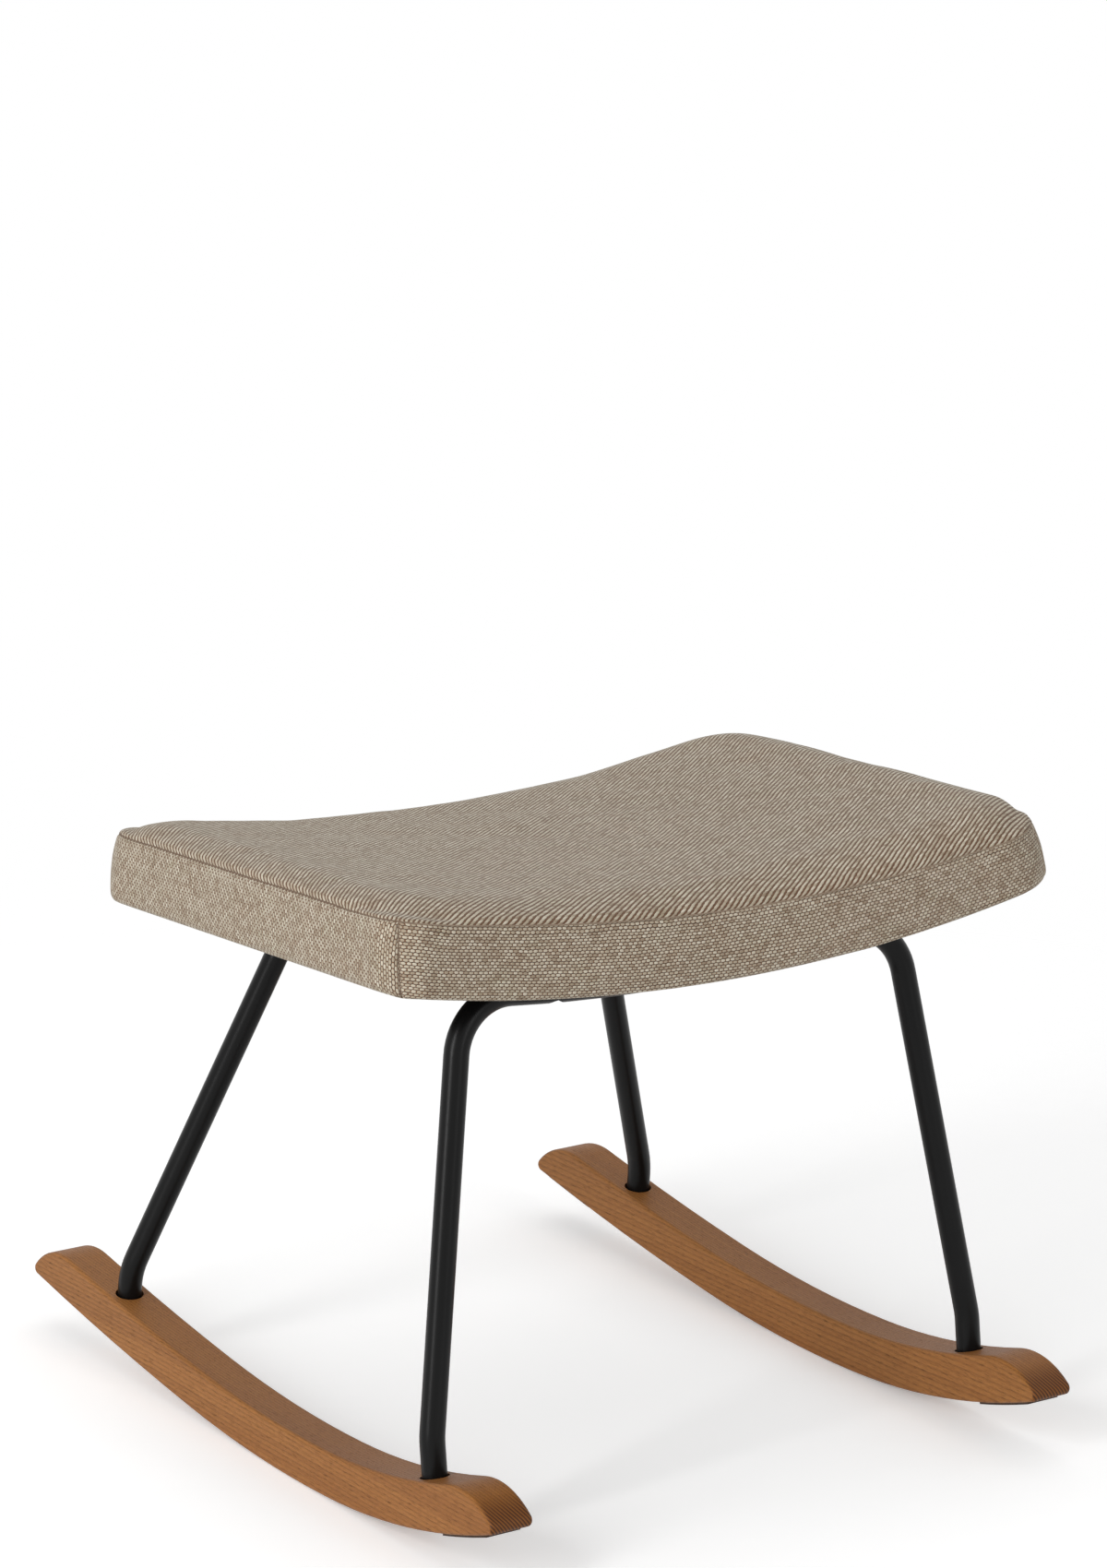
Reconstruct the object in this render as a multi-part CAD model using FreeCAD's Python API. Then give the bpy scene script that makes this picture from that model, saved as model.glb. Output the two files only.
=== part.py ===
import FreeCAD, Part
import math
import os

# A rocking footstool: two oak rockers, two bent steel tube frames and a saddle-shaped upholstered seat.
# Millimetres and degrees. X runs across the stool, Y from front (negative) to rear, Z up from the floor.
# Sizes along Y are measured from the middle between the leg holes; the export puts the origin in the
# middle of the footprint.

V = FreeCAD.Vector

# Rockers
rocker_spacing = 408.0
rocker_width = 30.0
rocker_thickness = 31.0
front_reach = 280.0
rear_reach = 300.0
rest_line_ahead = 30.5
front_rocking_radius = 640.0
middle_rocking_radius = 1100.0
rear_rocking_radius = 2960.0
front_arc_reach = 85.0
rear_arc_reach = 85.0
nose_length = 42.0
tip_radius = 4.5
rocker_edge_radius = 2.5

# Leg sockets and their bolts
leg_hole_reach = 192.0
leg_hole_depth = 14.0
leg_hole_clearance = 1.4
socket_web = 8.0
counterbore_diameter = 16.0
bolt_diameter = 6.0
bolt_clearance = 0.3
bolt_head_diameter = 10.5
bolt_head_height = 3.3
bolt_head_rounding = 1.3
bolt_key_width = 4.0
bolt_key_depth = 2.0
rocker_washer_diameter = 14.0
rocker_washer_thickness = 1.2
insert_length = 20.0
rocker_bolt_engagement = 14.0

# Tube frames
tube_diameter = 16.0
tube_wall = 1.5
front_foot_height = 24.0
rear_foot_height = 17.0
front_foot_bend_radius = 55.0
rear_foot_bend_radius = 60.0
frame_corner_radius = 38.0
front_splay = 8.8
rear_splay = 19.6
front_run_inset = 72.3
rear_run_inset = 24.9
front_bolt_spacing = 190.0
rear_bolt_spacing = 130.0

# Seat
seat_width = 504.0
seat_depth = 378.0
seat_height = 329.3
seat_ahead = 42.0
seat_tilt = 3.6
seat_curve_radius = 1150.0
seat_thickness = 52.5
middle_rise = 3.0
seam_height = 45.0
seat_corner_radius = 44.0
top_edge_radius = 30.0
lower_edge_radius = 8.0
board_thickness = 12.0
board_margin = 4.0
cover_thickness = 1.5
wadding_thickness = 5.0
cover_wrap = 30.0
dust_cover_thickness = 1.0
dust_cover_margin = 10.5
saddle_height = 0.8
saddle_diameter = 14.0
tee_nut_barrel_diameter = 8.0
tee_nut_barrel_length = 9.0
tee_nut_flange_diameter = 18.0
tee_nut_flange_thickness = 1.5

# Staples
staple_width = 10.0
staple_wire = 1.0
staple_leg = 7.0
staple_inset = 15.0
staples_along_front = 9
staples_along_side = 6
staple_corner_gap = 32.0

# Felt pads
pad_length = 52.0
pad_width = 24.0
pad_thickness = 1.4
pad_from_tip = 8.0

os.makedirs("parts", exist_ok=True)
X_AXIS = V(1, 0, 0)
Y_AXIS = V(0, 1, 0)
Z_AXIS = V(0, 0, 1)
cutting_reach = 200.0  # how far blocks that only cut go past the seat
to_footprint_middle = V(0, (front_reach - rear_reach) / 2, 0)


def export(name, shape):
    out = shape.copy()
    out.translate(to_footprint_middle)
    out.exportStep("parts/" + name + ".step")
    kind = "closed" if out.isValid() else "NOT VALID"
    print(name, len(out.Solids), "solids", kind, round(out.Volume), "mm3")


def rod(base, direction, radius, length):
    return Part.makeCylinder(radius, length, base, direction)


def arc(first, middle, last):
    return Part.Arc(first, middle, last).toShape()


def line(first, last):
    return Part.LineSegment(first, last).toShape()


# Rocking profile: three tangent arcs, each as centre, radius, first angle and last angle from straight down

def on_arc(centre, radius, angle):
    return V(0, centre.y + radius * math.sin(angle), centre.z - radius * math.cos(angle))


def angle_at(centre, radius, y):
    return math.asin((y - centre.y) / radius)


def rocking_arcs():
    middle_centre = V(0, -rest_line_ahead, middle_rocking_radius)
    front_joint = angle_at(middle_centre, middle_rocking_radius, -front_arc_reach)
    rear_joint = angle_at(middle_centre, middle_rocking_radius, rear_arc_reach)
    front_centre = on_arc(middle_centre, middle_rocking_radius - front_rocking_radius, front_joint)
    rear_centre = on_arc(middle_centre, middle_rocking_radius - rear_rocking_radius, rear_joint)
    front_tip = angle_at(front_centre, front_rocking_radius - tip_radius, tip_radius - front_reach)
    rear_tip = angle_at(rear_centre, rear_rocking_radius - tip_radius, rear_reach - tip_radius)
    return [
        (front_centre, front_rocking_radius, front_tip, front_joint),
        (middle_centre, middle_rocking_radius, front_joint, rear_joint),
        (rear_centre, rear_rocking_radius, rear_joint, rear_tip),
    ]


ARCS = rocking_arcs()


def arc_edge(centre, radius, first, last):
    middle = (first + last) / 2
    return arc(on_arc(centre, radius, first), on_arc(centre, radius, middle), on_arc(centre, radius, last))


def tip_centre(centre, radius, tip_angle):
    return on_arc(centre, radius - tip_radius, tip_angle)


def nose(centre, radius, tip_angle, inner_angle):
    """Edges from the top of the rocker down over its rounded end to the underside, all tangent."""
    top = on_arc(centre, radius - rocker_thickness, inner_angle)
    up = V(0, -math.sin(inner_angle), math.cos(inner_angle))
    small = tip_centre(centre, radius, tip_angle)
    chord = top - small
    nose_radius = (chord.dot(chord) - tip_radius ** 2) / (2 * (chord.dot(up) - tip_radius))
    nose_centre = top - up * nose_radius
    outward = small - nose_centre
    outward.normalize()
    meeting = nose_centre + outward * nose_radius
    bottom = on_arc(centre, radius, tip_angle)
    halfway = (top - nose_centre) + (meeting - nose_centre)
    halfway.normalize()
    around = (meeting - small) + (bottom - small)
    around.normalize()
    return [
        arc(top, nose_centre + halfway * nose_radius, meeting),
        arc(meeting, small + around * tip_radius, bottom),
    ]


def rocker_solid():
    front, middle, rear = ARCS
    front_inner = front[2] + nose_length / front_rocking_radius
    rear_inner = rear[3] - nose_length / rear_rocking_radius
    edges = [arc_edge(*a) for a in ARCS]
    edges.extend(nose(rear[0], rear[1], rear[3], rear_inner))
    edges.append(arc_edge(rear[0], rear[1] - rocker_thickness, rear_inner, rear[2]))
    edges.append(arc_edge(middle[0], middle[1] - rocker_thickness, middle[3], middle[2]))
    edges.append(arc_edge(front[0], front[1] - rocker_thickness, front[3], front_inner))
    edges.extend(nose(front[0], front[1], front[2], front_inner))
    outline = Part.Face(Part.Wire(Part.__sortEdges__(edges)))
    outline.translate(V(-rocker_width / 2, 0, 0))
    solid = outline.extrude(V(rocker_width, 0, 0))
    rims = [edge for edge in solid.Edges if edge.BoundBox.XLength < rocker_width / 2]
    return solid.makeFillet(rocker_edge_radius, rims)


# Seat frame of reference: u across, v from front to rear, h square to the tilted seat from its underside

seat_place = FreeCAD.Placement(V(0, -seat_ahead, seat_height), FreeCAD.Rotation(X_AXIS, -seat_tilt))
seat_up = seat_place.Rotation.multVec(Z_AXIS)
tube_drop = dust_cover_thickness + saddle_height + tube_diameter / 2
board_top = cover_thickness + board_thickness


def seat_lift(u):
    return seat_curve_radius - math.sqrt(seat_curve_radius ** 2 - u ** 2)


def seated(shape):
    shape.Placement = seat_place
    return shape


def run_middle(front):
    """Middle of a tube frame's top run, set in from the seat's front or rear edge."""
    v = front_run_inset - seat_depth / 2 if front else seat_depth / 2 - rear_run_inset
    return seat_place.multVec(V(0, v, -tube_drop))


# Leg sockets: where a leg enters the rocker, and the socket's axis. The front sockets lean with the front
# frame, which is flat, and the rear ones are square to the rocker's top.

def socket(front):
    centre, radius = ARCS[0][:2] if front else ARCS[2][:2]
    reach = -leg_hole_reach if front else leg_hole_reach
    angle = angle_at(centre, radius - rocker_thickness, reach)
    mouth = on_arc(centre, radius - rocker_thickness, angle)
    axis = run_middle(front) - mouth if front else V(0, -math.sin(angle), math.cos(angle))
    axis.normalize()
    return mouth, axis


def socket_cut(front):
    mouth, axis = socket(front)
    floor = mouth - axis * leg_hole_depth
    bearing = floor - axis * socket_web
    hole = rod(floor, axis, tube_diameter / 2 + leg_hole_clearance, leg_hole_depth * 2)
    shank = rod(floor, axis * -1, bolt_diameter / 2 + bolt_clearance, rocker_thickness * 2)
    counterbore = rod(bearing, axis * -1, counterbore_diameter / 2, rocker_thickness * 2)
    return hole.fuse([shank, counterbore])


def hex_key(base, direction, width, depth):
    corner = width / math.sqrt(3)
    points = []
    for step in range(7):
        turn = math.radians(60 * step)
        points.append(V(corner * math.cos(turn), corner * math.sin(turn), 0))
    key = Part.Face(Part.makePolygon(points)).extrude(V(0, 0, depth))
    key.Placement = FreeCAD.Placement(base, FreeCAD.Rotation(Z_AXIS, direction))
    return key


def button_bolt(under_head, direction, length):
    """A bolt whose shank runs along direction from the underside of its head."""
    head = rod(under_head, direction * -1, bolt_head_diameter / 2, bolt_head_height)
    head_top = under_head - direction * bolt_head_height
    rim = [edge for edge in head.Edges if edge.CenterOfMass.distanceToPoint(head_top) < 0.01]
    head = head.makeFillet(bolt_head_rounding, rim)
    key = hex_key(head_top, direction, bolt_key_width, bolt_key_depth)
    shank = rod(under_head, direction, bolt_diameter / 2, length)
    return head.cut(key).fuse(shank).removeSplitter()


def at_each_socket(make):
    """The shape that make(mouth, axis) gives at each of the four leg sockets."""
    shapes = []
    for side in (-1, 1):
        for front in (True, False):
            mouth, axis = socket(front)
            shapes.append(make(mouth + V(side * rocker_spacing / 2, 0, 0), axis))
    return Part.makeCompound(shapes)


def leg_insert(mouth, axis):
    floor = mouth - axis * leg_hole_depth
    body = rod(floor, axis, tube_diameter / 2 - tube_wall, insert_length)
    return body.cut(rod(floor, axis, bolt_diameter / 2, insert_length))


def rocker_washer(mouth, axis):
    bearing = mouth - axis * (leg_hole_depth + socket_web)
    disc = rod(bearing, axis * -1, rocker_washer_diameter / 2, rocker_washer_thickness)
    return disc.cut(rod(bearing, axis * -1, bolt_diameter / 2 + bolt_clearance, rocker_washer_thickness))


def rocker_bolt(mouth, axis):
    under_head = mouth - axis * (leg_hole_depth + socket_web + rocker_washer_thickness)
    length = rocker_washer_thickness + socket_web + rocker_bolt_engagement
    return button_bolt(under_head, axis, length)


# Tube frames

def frame_plane(front):
    """Bend points over the feet, the plane's up direction and the leg's direction on the +X side."""
    mouth, axis = socket(front)
    foot = front_foot_height if front else rear_foot_height
    splay = math.tan(math.radians(front_splay if front else rear_splay))
    bend = mouth + V(rocker_spacing / 2, 0, 0) + axis * foot
    up = run_middle(front) - V(0, bend.y, bend.z)
    leg = up - V(splay * up.z, 0, 0)
    up.normalize()
    leg.normalize()
    return bend, up, leg, axis


def top_run(front):
    """Height of the top run's middle above the bend points, along the frame's plane, and its radius."""
    bend, up, leg, axis = frame_plane(front)
    height = run_middle(front).distanceToPoint(V(0, bend.y, bend.z))
    radius = (seat_curve_radius + tube_drop) * up.dot(seat_up)
    return height, radius


def frame_corner(front):
    """Tangent points and middle of the bend between a leg and the top run, as x and height in the plane."""
    bend, up, leg, axis = frame_plane(front)
    height, radius = top_run(front)
    start = V(bend.x, 0, 0)
    along = V(leg.x, leg.dot(up), 0)
    inward = V(-along.y, along.x, 0)
    run_centre = V(0, height + radius, 0)
    base = start + inward * frame_corner_radius - run_centre
    half = base.dot(along)
    rest = base.dot(base) - (radius + frame_corner_radius) ** 2
    centre = base + along * (-half - math.sqrt(half ** 2 - rest)) + run_centre
    if centre.y < 0:
        centre = base + along * (-half + math.sqrt(half ** 2 - rest)) + run_centre
    on_leg = centre - inward * frame_corner_radius
    on_run = run_centre + (centre - run_centre) * (radius / (radius + frame_corner_radius))
    outward = (on_leg - centre) + (on_run - centre)
    outward.normalize()
    return on_leg, centre + outward * frame_corner_radius, on_run


def frame_path(front):
    bend, up, leg, axis = frame_plane(front)
    height, radius = top_run(front)
    on_leg, on_bend, on_run = frame_corner(front)
    foot_radius = front_foot_bend_radius if front else rear_foot_bend_radius
    turn = axis.getAngle(leg)
    tangent = foot_radius * math.tan(turn / 2)
    toward = leg - axis
    toward.normalize()
    foot_centre = bend + toward * (foot_radius / math.cos(turn / 2))
    foot = bend - axis * ((front_foot_height if front else rear_foot_height) + leg_hole_depth)
    plane = V(0, bend.y, bend.z)

    def place(point):
        return plane + V(point.x, 0, 0) + up * point.y

    right = [
        foot, bend - axis * tangent, foot_centre - toward * foot_radius, bend + leg * tangent,
        place(on_leg), place(on_bend), place(on_run),
    ]
    left = [V(-p.x, p.y, p.z) for p in right]
    edges = [
        line(right[0], right[1]), arc(right[1], right[2], right[3]), line(right[3], right[4]),
        arc(right[4], right[5], right[6]), arc(right[6], place(V(0, height, 0)), left[6]),
        arc(left[6], left[5], left[4]), line(left[4], left[3]), arc(left[3], left[2], left[1]),
        line(left[1], left[0]),
    ]
    return Part.Wire(edges), foot, axis


def swept(path, start, direction, radius):
    ring = Part.Wire(Part.Circle(start, direction, radius).toShape())
    return path.makePipeShell([ring], True, False)


def frame_bolt_axes(front):
    """Where each bolt's axis crosses the tube's centre line, and the seat's own up direction there."""
    bend, up, leg, axis = frame_plane(front)
    height, radius = top_run(front)
    spacing = front_bolt_spacing if front else rear_bolt_spacing
    places = []
    for side in (-1, 1):
        x = side * spacing / 2
        rise = height + radius - math.sqrt(radius ** 2 - x ** 2)
        crossing = V(x, bend.y, bend.z) + up * rise
        local = seat_place.inverse().multVec(crossing)
        lean = math.atan2(local.x, seat_curve_radius - local.z)
        outward = seat_place.Rotation.multVec(V(-math.sin(lean), 0, math.cos(lean)))
        places.append((crossing, outward))
    return places


def all_bolt_axes():
    return frame_bolt_axes(True) + frame_bolt_axes(False)


head_seat = math.sqrt((tube_diameter / 2 - tube_wall) ** 2 - (bolt_head_diameter / 2) ** 2)


def tube_frame(front):
    path, foot, axis = frame_path(front)
    outer = swept(path, foot, axis, tube_diameter / 2)
    inner = swept(path, foot, axis, tube_diameter / 2 - tube_wall)
    frame = outer.cut(inner)
    head_hole_radius = bolt_head_diameter / 2 + 2 * bolt_clearance
    for crossing, upward in frame_bolt_axes(front):
        frame = frame.cut(rod(crossing, upward, bolt_diameter / 2 + bolt_clearance, tube_diameter))
        frame = frame.cut(rod(crossing, upward * -1, head_hole_radius, tube_diameter))
    return frame, outer


# Seat pieces, in the seat's own frame until they are placed

def strip(low, high, half_width, half_depth):
    """A sheet that follows the seat's curve between two heights over its underside."""
    lift = seat_lift(half_width)
    edges = [
        arc(V(-half_width, 0, low + lift), V(0, 0, low), V(half_width, 0, low + lift)),
        line(V(half_width, 0, low + lift), V(half_width, 0, high + lift)),
        arc(V(half_width, 0, high + lift), V(0, 0, high), V(-half_width, 0, high + lift)),
        line(V(-half_width, 0, high + lift), V(-half_width, 0, low + lift)),
    ]
    face = Part.Face(Part.Wire(edges))
    face.translate(V(0, -half_depth, 0))
    return face.extrude(V(0, 2 * half_depth, 0))


def plan_block(half_width, half_depth, corner):
    """An upright block with rounded corners, to trim the seat's plan."""
    base = V(-half_width, -half_depth, -cutting_reach)
    block = Part.makeBox(2 * half_width, 2 * half_depth, 2 * cutting_reach, base)
    uprights = [edge for edge in block.Edges if edge.BoundBox.ZLength > cutting_reach]
    return block.makeFillet(corner, uprights)


def domed_slab(low, high, half_width, half_depth):
    """A slab that follows the seat's curve, flat below and slightly domed from front to rear above."""
    reach = half_depth + seat_corner_radius
    dome_radius = (seat_depth ** 2 / 4 + middle_rise ** 2) / (2 * middle_rise)
    end = high + middle_rise - dome_radius + math.sqrt(dome_radius ** 2 - reach ** 2)
    edges = [
        line(V(0, -reach, low), V(0, reach, low)),
        line(V(0, reach, low), V(0, reach, end)),
        arc(V(0, reach, end), V(0, 0, high + middle_rise), V(0, -reach, end)),
        line(V(0, -reach, end), V(0, -reach, low)),
    ]
    face = Part.Face(Part.Wire(edges))
    pivot = V(0, 0, seat_curve_radius)
    inner_radius = seat_curve_radius - seat_thickness
    half_turn = math.degrees(math.asin((half_width + seat_corner_radius) / inner_radius))
    face.rotate(pivot, Y_AXIS, -half_turn)
    return face.revolve(pivot, Y_AXIS, 2 * half_turn)


def rim_edges(body, least, most):
    """The edges of a cushion form that lie between two heights over the seat's underside."""
    rim = []
    for edge in body.Edges:
        places = [edge.valueAt(t) for t in (edge.FirstParameter, edge.LastParameter)]
        heights = [place.z - seat_lift(place.x) for place in places]
        if min(heights) > least and max(heights) < most:
            rim.append(edge)
    return rim


def cushion(inset):
    """The crowned cushion form with rounded edges, drawn in all round by inset."""
    half_width = seat_width / 2 - inset
    half_depth = seat_depth / 2 - inset
    slab = domed_slab(inset, seat_thickness - inset, half_width, half_depth)
    body = slab.common(plan_block(half_width, half_depth, seat_corner_radius - inset))
    middle = seat_thickness / 2
    body = body.makeFillet(top_edge_radius - inset, rim_edges(body, middle, 2 * seat_thickness))
    return body.makeFillet(lower_edge_radius - inset, rim_edges(body, -seam_height, top_edge_radius / 2))


def seam_block():
    """Everything over the seam between the top panel and the bands."""
    half = seat_width / 2 + seat_corner_radius
    lift = seat_lift(half)
    high = lift + 3 * seat_thickness
    edges = [
        arc(V(-half, 0, seam_height + lift), V(0, 0, seam_height), V(half, 0, seam_height + lift)),
        line(V(half, 0, seam_height + lift), V(half, 0, high)),
        line(V(half, 0, high), V(-half, 0, high)),
        line(V(-half, 0, high), V(-half, 0, seam_height + lift)),
    ]
    face = Part.Face(Part.Wire(edges))
    face.translate(V(0, -seat_depth, 0))
    return face.extrude(V(0, 2 * seat_depth, 0))


def corner_wedge(points):
    loop = [V(u, v, -cutting_reach) for u, v in points]
    loop.append(loop[0])
    return Part.Face(Part.makePolygon(loop)).extrude(V(0, 0, 2 * cutting_reach))


def band_wedges():
    """Four blocks that meet along the upright corner seams."""
    u = seat_width / 2
    v = seat_depth / 2
    reach = v / 2
    outer_corner = (u + reach, v + reach)
    inner_corner = (u - reach, v - reach)
    wedges = {}
    for name, side in (("cover_front_band", -1), ("cover_rear_band", 1)):
        a, b = outer_corner
        c, d = inner_corner
        wedges[name] = [(-a, side * b), (a, side * b), (c, side * d), (-c, side * d)]
    for name, side in (("cover_left_band", -1), ("cover_right_band", 1)):
        a, b = outer_corner
        c, d = inner_corner
        wedges[name] = [(side * a, -b), (side * a, b), (side * c, d), (side * c, -d)]
    return wedges


def staple_spots():
    """Middle of each staple's crown, and whether it lies along the width."""
    half_width = seat_width / 2 - staple_inset
    half_depth = seat_depth / 2 - staple_inset
    spots = []
    for side in (-1, 1):
        for step in range(staples_along_front):
            share = 2 * step / (staples_along_front - 1) - 1
            spots.append((share * (half_width - staple_corner_gap), side * half_depth, True))
        for step in range(staples_along_side):
            share = 2 * step / (staples_along_side - 1) - 1
            spots.append((side * half_width, share * (half_depth - staple_corner_gap), False))
    return spots


def staple(u, v, along_width):
    """One staple, square to the seat's curve where it stands."""
    wire = staple_wire
    shape = Part.makeBox(staple_width, wire, wire, V(-staple_width / 2, -wire / 2, -wire))
    for side in (-1, 1):
        leg_x = side * (staple_width - wire) / 2 - wire / 2
        shape = shape.fuse(Part.makeBox(wire, wire, staple_leg, V(leg_x, -wire / 2, 0)))
    shape = shape.removeSplitter()
    if not along_width:
        shape.rotate(V(0, 0, 0), Z_AXIS, 90)
    lean = math.asin(u / seat_curve_radius)
    shape.rotate(V(0, 0, 0), Y_AXIS, -math.degrees(lean))
    shape.translate(V(u, v, seat_lift(u) - dust_cover_thickness))
    return shape


def tee_nut(crossing, upward):
    flange_base = crossing + upward * (tube_drop + board_top)
    flange = rod(flange_base, upward, tee_nut_flange_diameter / 2, tee_nut_flange_thickness)
    barrel = rod(flange_base, upward * -1, tee_nut_barrel_diameter / 2, tee_nut_barrel_length)
    bore_length = tee_nut_barrel_length + tee_nut_flange_thickness
    bore = rod(flange_base + upward * tee_nut_flange_thickness, upward * -1, bolt_diameter / 2, bore_length)
    return flange.fuse(barrel).removeSplitter().cut(bore)


def frame_bolt(crossing, upward):
    length = tube_drop + board_top - head_seat
    return button_bolt(crossing + upward * head_seat, upward, length)


def saddle_washer(crossing, upward, tube):
    top = tube_drop - dust_cover_thickness
    body = rod(crossing, upward, saddle_diameter / 2, top)
    body = body.cut(tube)
    body = body.cut(rod(crossing, upward, bolt_diameter / 2 + bolt_clearance, top))
    return body


def cover_pieces(outer, inner):
    """The sewn cover: a top panel and four bands that wrap round under the board."""
    half_width = seat_width / 2 - cover_wrap
    half_depth = seat_depth / 2 - cover_wrap
    opening = strip(-cover_thickness, 2 * cover_thickness, half_width, half_depth)
    shell = outer.cut(inner).cut(opening)
    above = seam_block()
    lower = shell.cut(above)
    pieces = {"cover_top_panel": shell.common(above)}
    for name, points in band_wedges().items():
        pieces[name] = lower.common(corner_wedge(points))
    return pieces


def rounded_sheet(low, high, inset):
    """A curved sheet between two heights with the cushion's plan, drawn in all round by inset."""
    half_width = seat_width / 2 - inset
    half_depth = seat_depth / 2 - inset
    plan = plan_block(half_width, half_depth, seat_corner_radius - inset)
    return strip(low, high, half_width + inset, half_depth + inset).common(plan)


def seat_pieces(tubes):
    inner = cushion(cover_thickness)
    core_inset = cover_thickness + wadding_thickness
    core = cushion(core_inset)
    pieces = cover_pieces(cushion(0.0), inner)
    board = rounded_sheet(cover_thickness, board_top, core_inset + board_margin)
    pieces["dust_cover"] = rounded_sheet(-dust_cover_thickness, 0.0, dust_cover_margin)
    pieces["seat_board"] = board
    pieces["seat_foam"] = core.cut(board)
    pieces["seat_wadding"] = inner.cut([core, board])
    staples = Part.makeCompound([staple(*spot) for spot in staple_spots()])
    for name in list(band_wedges()) + ["dust_cover", "seat_board"]:
        pieces[name] = pieces[name].cut(staples.Solids)
    pieces["staples"] = staples
    placed = {name: seated(shape) for name, shape in pieces.items()}
    for crossing, upward in all_bolt_axes():
        shaft = rod(crossing, upward, bolt_diameter / 2 + bolt_clearance, tube_drop)
        placed["dust_cover"] = placed["dust_cover"].cut(shaft)
        through = rod(crossing, upward, tee_nut_barrel_diameter / 2, tube_drop + board_top)
        placed["seat_board"] = placed["seat_board"].cut(through)
        fastening = [tee_nut(crossing, upward), frame_bolt(crossing, upward)]
        placed["seat_foam"] = placed["seat_foam"].cut(fastening)
    placed["tee_nuts"] = Part.makeCompound([tee_nut(*place) for place in all_bolt_axes()])
    placed["frame_bolts"] = Part.makeCompound([frame_bolt(*place) for place in all_bolt_axes()])
    washers = []
    for front in (True, False):
        for place in frame_bolt_axes(front):
            washers.append(saddle_washer(*place, tubes[front]))
    placed["saddle_washers"] = Part.makeCompound(washers)
    return placed


def felt_pad(front, side):
    """A thin strip glued under one end of a rocker."""
    centre, radius, first, last = ARCS[0] if front else ARCS[2]
    if front:
        first_angle = first + pad_from_tip / radius
        last_angle = first_angle + pad_length / radius
    else:
        last_angle = last - pad_from_tip / radius
        first_angle = last_angle - pad_length / radius
    outer_radius = radius + pad_thickness
    edges = [
        arc_edge(centre, radius, first_angle, last_angle),
        line(on_arc(centre, radius, last_angle), on_arc(centre, outer_radius, last_angle)),
        arc_edge(centre, outer_radius, last_angle, first_angle),
        line(on_arc(centre, outer_radius, first_angle), on_arc(centre, radius, first_angle)),
    ]
    face = Part.Face(Part.Wire(edges))
    face.translate(V(side * rocker_spacing / 2 - pad_width / 2, 0, 0))
    return face.extrude(V(pad_width, 0, 0))


# Build and export

rocker = rocker_solid().cut([socket_cut(True), socket_cut(False)])
for name, side in (("rocker_left", -1), ("rocker_right", 1)):
    placed_rocker = rocker.copy()
    placed_rocker.translate(V(side * rocker_spacing / 2, 0, 0))
    export(name, placed_rocker)

front_frame, front_tube = tube_frame(True)
rear_frame, rear_tube = tube_frame(False)
export("front_tube_frame", front_frame)
export("rear_tube_frame", rear_frame)
export("leg_inserts", at_each_socket(leg_insert))
export("rocker_washers", at_each_socket(rocker_washer))
export("rocker_bolts", at_each_socket(rocker_bolt))

for name, shape in seat_pieces({True: front_tube, False: rear_tube}).items():
    export(name, shape)

for end, front in (("front", True), ("rear", False)):
    for hand, side in (("left", -1), ("right", 1)):
        export("felt_pad_" + end + "_" + hand, felt_pad(front, side))
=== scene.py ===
import math

import bpy
import numpy as np
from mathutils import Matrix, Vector


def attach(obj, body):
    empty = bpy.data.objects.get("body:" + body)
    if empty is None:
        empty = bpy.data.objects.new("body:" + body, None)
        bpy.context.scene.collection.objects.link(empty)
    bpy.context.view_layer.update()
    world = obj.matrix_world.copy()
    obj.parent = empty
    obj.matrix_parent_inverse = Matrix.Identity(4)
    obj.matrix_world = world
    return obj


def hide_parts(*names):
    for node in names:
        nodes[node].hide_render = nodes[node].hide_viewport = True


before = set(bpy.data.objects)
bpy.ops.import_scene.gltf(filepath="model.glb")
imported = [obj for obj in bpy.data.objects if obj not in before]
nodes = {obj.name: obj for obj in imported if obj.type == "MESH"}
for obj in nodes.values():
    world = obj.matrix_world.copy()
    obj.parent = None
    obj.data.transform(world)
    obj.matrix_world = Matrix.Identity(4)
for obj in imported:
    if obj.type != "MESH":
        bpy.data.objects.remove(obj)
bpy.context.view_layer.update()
MM = 0.001

# Camera, set at the photograph's place and angle

CAMERA_PLACE = (-1.86474, -2.88010, 1.29039)
CAMERA_AZIMUTH = -33.12
CAMERA_ELEVATION = 14.37
LENS = 126.57


def make_camera():
    data = bpy.data.cameras.new("camera")
    data.lens = LENS
    data.sensor_width = 36.0
    camera = bpy.data.objects.new("camera", data)
    bpy.context.scene.collection.objects.link(camera)
    a = math.radians(CAMERA_AZIMUTH)
    e = math.radians(CAMERA_ELEVATION)
    back = Vector((math.sin(a) * math.cos(e), -math.cos(a) * math.cos(e), math.sin(e)))
    camera.location = CAMERA_PLACE
    camera.rotation_mode = "QUATERNION"
    camera.rotation_quaternion = (-back).to_track_quat("-Z", "Y")
    data.clip_start = 0.1
    data.clip_end = 60.0
    bpy.context.scene.camera = camera


make_camera()


# Materials

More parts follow.
